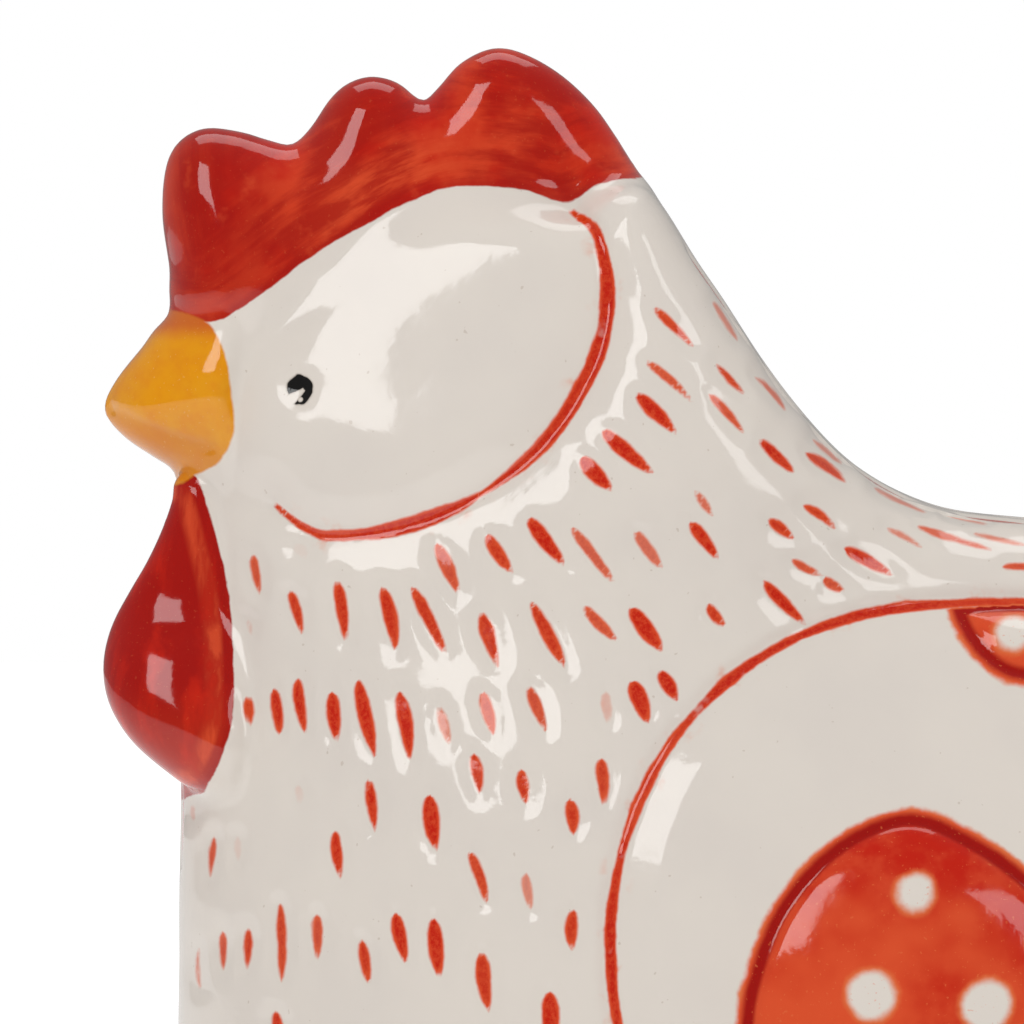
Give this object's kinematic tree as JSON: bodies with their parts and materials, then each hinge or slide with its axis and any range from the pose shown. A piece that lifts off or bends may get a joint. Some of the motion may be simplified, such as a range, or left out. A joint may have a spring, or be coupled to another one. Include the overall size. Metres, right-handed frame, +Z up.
{
  "type": "glazed ceramic hen with a wind-up musical movement",
  "caption": "Glazed hand-painted ceramic hen figurine, hollow, with a wind-up musical movement in its base and a key in a recess underneath.",
  "frame": {"origin": "middle of the whole object's bounding box in X and Y, on the surface that it stands on", "axes": "-X the way the hen faces, +Z up, the hen is the same on both sides of Y = 0 apart from its movement"},
  "size_m": [0.1917, 0.098, 0.179],
  "materials": {
    "glazed_ceramic": "clear gloss glaze over hand-painted red, amber and black",
    "well_plastic": "moulded, lightly textured",
    "gasket_rubber": "matt",
    "zinc_screws": "zinc plated",
    "cast_plate": "nickel-washed casting",
    "pressed_steel": "pressed, nickel plated",
    "brass_screws": "bright",
    "comb_steel": "ground spring steel",
    "turned_steel": "turned",
    "brass_parts": "satin",
    "spring_steel": "blued wire",
    "white_nylon": "moulded nylon"
  },
  "bodies": {
    "root": {"glazed_hen_shell": "glazed_ceramic", "key_well": "well_plastic", "base_gasket": "gasket_rubber", "well_screws": "zinc_screws", "movement_bedplate": "cast_plate", "inner_bracket": "pressed_steel", "outer_bracket": "pressed_steel", "bracket_screws": "brass_screws", "tone_comb": "comb_steel", "comb_screws": "brass_screws", "idler_stud": "turned_steel", "governor_frame": "brass_parts", "governor_screw": "brass_screws", "clutch_spring": "spring_steel"},
    "winder": {"winding_key": "brass_parts", "winding_arbor": "turned_steel", "arbor_clip": "spring_steel"},
    "barrel": {"spring_barrel": "brass_parts", "barrel_cover": "brass_parts", "mainspring": "spring_steel"},
    "cylinder": {"tune_cylinder": "brass_parts", "cylinder_arbor": "turned_steel", "cylinder_pinion": "brass_parts", "cylinder_wheel": "brass_parts"},
    "idler": {"idler_gear": "brass_parts"},
    "governor": {"governor_worm": "white_nylon", "air_brake": "white_nylon"}
  },
  "joints": [
    {"name": "winding", "type": "hinge", "parent": "root", "child": "winder", "pos_m": [-0.025, 0, 0.01], "axis": [0, 0, 1], "range_deg": [0, 1530]},
    {"name": "cylinder_turn", "type": "hinge", "parent": "root", "child": "cylinder", "pos_m": [-0.0086, 0, 0.041], "axis": [1, 0, 0], "continuous": true},
    {"name": "barrel_turn", "type": "hinge", "parent": "root", "child": "barrel", "pos_m": [-0.025, 0, 0.03], "axis": [0, 0, 1], "continuous": true},
    {"name": "idler_turn", "type": "hinge", "parent": "root", "child": "idler", "pos_m": [0.0076, 0.01088, 0.03593], "axis": [1, 0, 0], "continuous": true},
    {"name": "governor_turn", "type": "hinge", "parent": "root", "child": "governor", "pos_m": [0.0081, 0.01813, 0.03593], "axis": [0, 0, 1], "continuous": true}
  ],
  "couplings": [
    {"joint": "barrel_turn", "follows": "cylinder_turn", "ratio": 0.38889},
    {"joint": "idler_turn", "follows": "cylinder_turn", "ratio": -4},
    {"joint": "governor_turn", "follows": "cylinder_turn", "ratio": 96}
  ]
}
